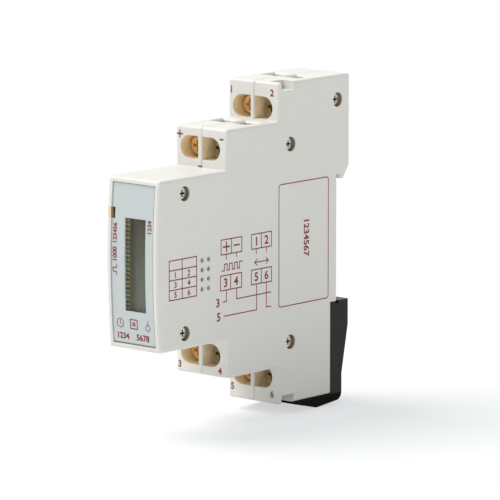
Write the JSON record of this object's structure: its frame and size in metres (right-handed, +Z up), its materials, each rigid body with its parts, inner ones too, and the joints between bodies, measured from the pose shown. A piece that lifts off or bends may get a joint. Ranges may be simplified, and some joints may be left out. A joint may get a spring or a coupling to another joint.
{
  "type": "din rail energy meter",
  "caption": "Narrow stepped energy meter for a 35 mm rail, with clamp terminals, upright display and a sprung rail clip.",
  "frame": {"origin": "centre of the face that seats on the rail, on the rail's centre line", "axes": "+Z up along the case's height, +Y into the wall behind the rail, the front faces -Y, +X right as seen from the front"},
  "size_m": [0.018, 0.0769, 0.0893],
  "materials": {
    "case_plastic": "light grey moulded case, fine texture",
    "panel_plastic": "pale blue-grey printed plate",
    "clear_window": "clear window, glossy",
    "display_glass": "display glass, glossy",
    "white_plastic": "light box, satin",
    "amber_plastic": "smoky amber light guide",
    "lamp_red": "small lamp",
    "circuit_board": "solder-masked board",
    "tinned_metal": "tinned metal",
    "capacitor_box": "potted box",
    "varistor_disc": "dipped disc",
    "capacitor_can": "sleeved can",
    "chip_black": "moulded black",
    "shunt_alloy": "resistance alloy",
    "copper": "copper strip",
    "zinc_steel": "zinc plated",
    "yellow_zinc": "yellow passivated zinc",
    "spring_steel": "spring wire",
    "clip_plastic": "black moulded clip, satin"
  },
  "bodies": {
    "case": {"case_left_shell": "case_plastic", "case_right_shell": "case_plastic", "label_panel": "panel_plastic", "display_window": "clear_window", "pulse_guide": "amber_plastic", "lcd_glass": "display_glass", "lcd_backlight": "white_plastic", "display_board": "circuit_board", "lcd_pins": "tinned_metal", "pulse_led": "lamp_red", "main_board": "circuit_board", "film_capacitor": "capacitor_box", "varistor": "varistor_disc", "supply_capacitors": "capacitor_can", "optocoupler": "chip_black", "service_header": "chip_black", "controller_chip": "chip_black", "crystal": "tinned_metal", "metering_chip": "chip_black", "bus_transceiver": "chip_black", "board_link": "chip_black", "shunt": "shunt_alloy", "bar_neutral": "copper", "case_screws": "zinc_steel", "clip_spring": "spring_steel", "bar_bus_a": "copper", "bar_bus_b": "copper", "bar_pulse_plus": "copper", "bar_pulse_minus": "copper", "bar_line_in": "copper", "bar_line_out": "copper"},
    "clip": {"din_clip": "clip_plastic"},
    "screw_bus_a": {"screw_bus_a": "yellow_zinc"},
    "cage_bus_a": {"cage_bus_a": "zinc_steel"},
    "screw_bus_b": {"screw_bus_b": "yellow_zinc"},
    "cage_bus_b": {"cage_bus_b": "zinc_steel"},
    "screw_pulse_plus": {"screw_pulse_plus": "yellow_zinc"},
    "cage_pulse_plus": {"cage_pulse_plus": "zinc_steel"},
    "screw_pulse_minus": {"screw_pulse_minus": "yellow_zinc"},
    "cage_pulse_minus": {"cage_pulse_minus": "zinc_steel"},
    "screw_line_in": {"screw_line_in": "yellow_zinc"},
    "cage_line_in": {"cage_line_in": "zinc_steel"},
    "screw_line_out": {"screw_line_out": "yellow_zinc"},
    "cage_line_out": {"cage_line_out": "zinc_steel"},
    "screw_neutral_in": {"screw_neutral_in": "yellow_zinc"},
    "cage_neutral_in": {"cage_neutral_in": "zinc_steel"},
    "screw_neutral_out": {"screw_neutral_out": "yellow_zinc"},
    "cage_neutral_out": {"cage_neutral_out": "zinc_steel"}
  },
  "joints": [
    {"name": "clip_slide", "type": "slide", "parent": "case", "child": "clip", "axis": [0, 0, -1], "range_m": [0, 0.004], "stiffness_N_per_m": 1500, "springref_m": -0.002, "deforming": ["clip_spring"]},
    {"name": "turn_bus_a", "type": "hinge", "parent": "case", "child": "screw_bus_a", "pos_m": [-0.0042, -0.01995, 0.0374], "axis": [0, 1, 0], "range_deg": [0, 1569]},
    {"name": "clamp_bus_a", "type": "slide", "parent": "case", "child": "cage_bus_a", "axis": [0, -1, 0], "range_m": [0, 0.00305]},
    {"name": "turn_bus_b", "type": "hinge", "parent": "case", "child": "screw_bus_b", "pos_m": [0.0035, -0.01995, 0.0374], "axis": [0, 1, 0], "range_deg": [0, 1569]},
    {"name": "clamp_bus_b", "type": "slide", "parent": "case", "child": "cage_bus_b", "axis": [0, -1, 0], "range_m": [0, 0.00305]},
    {"name": "turn_pulse_plus", "type": "hinge", "parent": "case", "child": "screw_pulse_plus", "pos_m": [-0.0042, -0.0408, 0.0286], "axis": [0, 1, 0], "range_deg": [0, 1569]},
    {"name": "clamp_pulse_plus", "type": "slide", "parent": "case", "child": "cage_pulse_plus", "axis": [0, -1, 0], "range_m": [0, 0.00305]},
    {"name": "turn_pulse_minus", "type": "hinge", "parent": "case", "child": "screw_pulse_minus", "pos_m": [0.0035, -0.0408, 0.0286], "axis": [0, 1, 0], "range_deg": [0, 1569]},
    {"name": "clamp_pulse_minus", "type": "slide", "parent": "case", "child": "cage_pulse_minus", "axis": [0, -1, 0], "range_m": [0, 0.00305]},
    {"name": "turn_line_in", "type": "hinge", "parent": "case", "child": "screw_line_in", "pos_m": [-0.0042, -0.0408, -0.0261], "axis": [0, 1, 0], "range_deg": [0, 1569]},
    {"name": "clamp_line_in", "type": "slide", "parent": "case", "child": "cage_line_in", "axis": [0, -1, 0], "range_m": [0, 0.00305]},
    {"name": "turn_line_out", "type": "hinge", "parent": "case", "child": "screw_line_out", "pos_m": [0.0035, -0.0408, -0.0261], "axis": [0, 1, 0], "range_deg": [0, 1569]},
    {"name": "clamp_line_out", "type": "slide", "parent": "case", "child": "cage_line_out", "axis": [0, -1, 0], "range_m": [0, 0.00305]},
    {"name": "turn_neutral_in", "type": "hinge", "parent": "case", "child": "screw_neutral_in", "pos_m": [-0.0042, -0.01995, -0.0347], "axis": [0, 1, 0], "range_deg": [0, 1569]},
    {"name": "clamp_neutral_in", "type": "slide", "parent": "case", "child": "cage_neutral_in", "axis": [0, -1, 0], "range_m": [0, 0.00305]},
    {"name": "turn_neutral_out", "type": "hinge", "parent": "case", "child": "screw_neutral_out", "pos_m": [0.0035, -0.01995, -0.0347], "axis": [0, 1, 0], "range_deg": [0, 1569]},
    {"name": "clamp_neutral_out", "type": "slide", "parent": "case", "child": "cage_neutral_out", "axis": [0, -1, 0], "range_m": [0, 0.00305]}
  ],
  "couplings": [
    {"joint": "turn_bus_a", "follows": "clamp_bus_a", "rad_per_m": 8976},
    {"joint": "turn_bus_b", "follows": "clamp_bus_b", "rad_per_m": 8976},
    {"joint": "turn_pulse_plus", "follows": "clamp_pulse_plus", "rad_per_m": 8976},
    {"joint": "turn_pulse_minus", "follows": "clamp_pulse_minus", "rad_per_m": 8976},
    {"joint": "turn_line_in", "follows": "clamp_line_in", "rad_per_m": 8976},
    {"joint": "turn_line_out", "follows": "clamp_line_out", "rad_per_m": 8976},
    {"joint": "turn_neutral_in", "follows": "clamp_neutral_in", "rad_per_m": 8976},
    {"joint": "turn_neutral_out", "follows": "clamp_neutral_out", "rad_per_m": 8976}
  ]
}
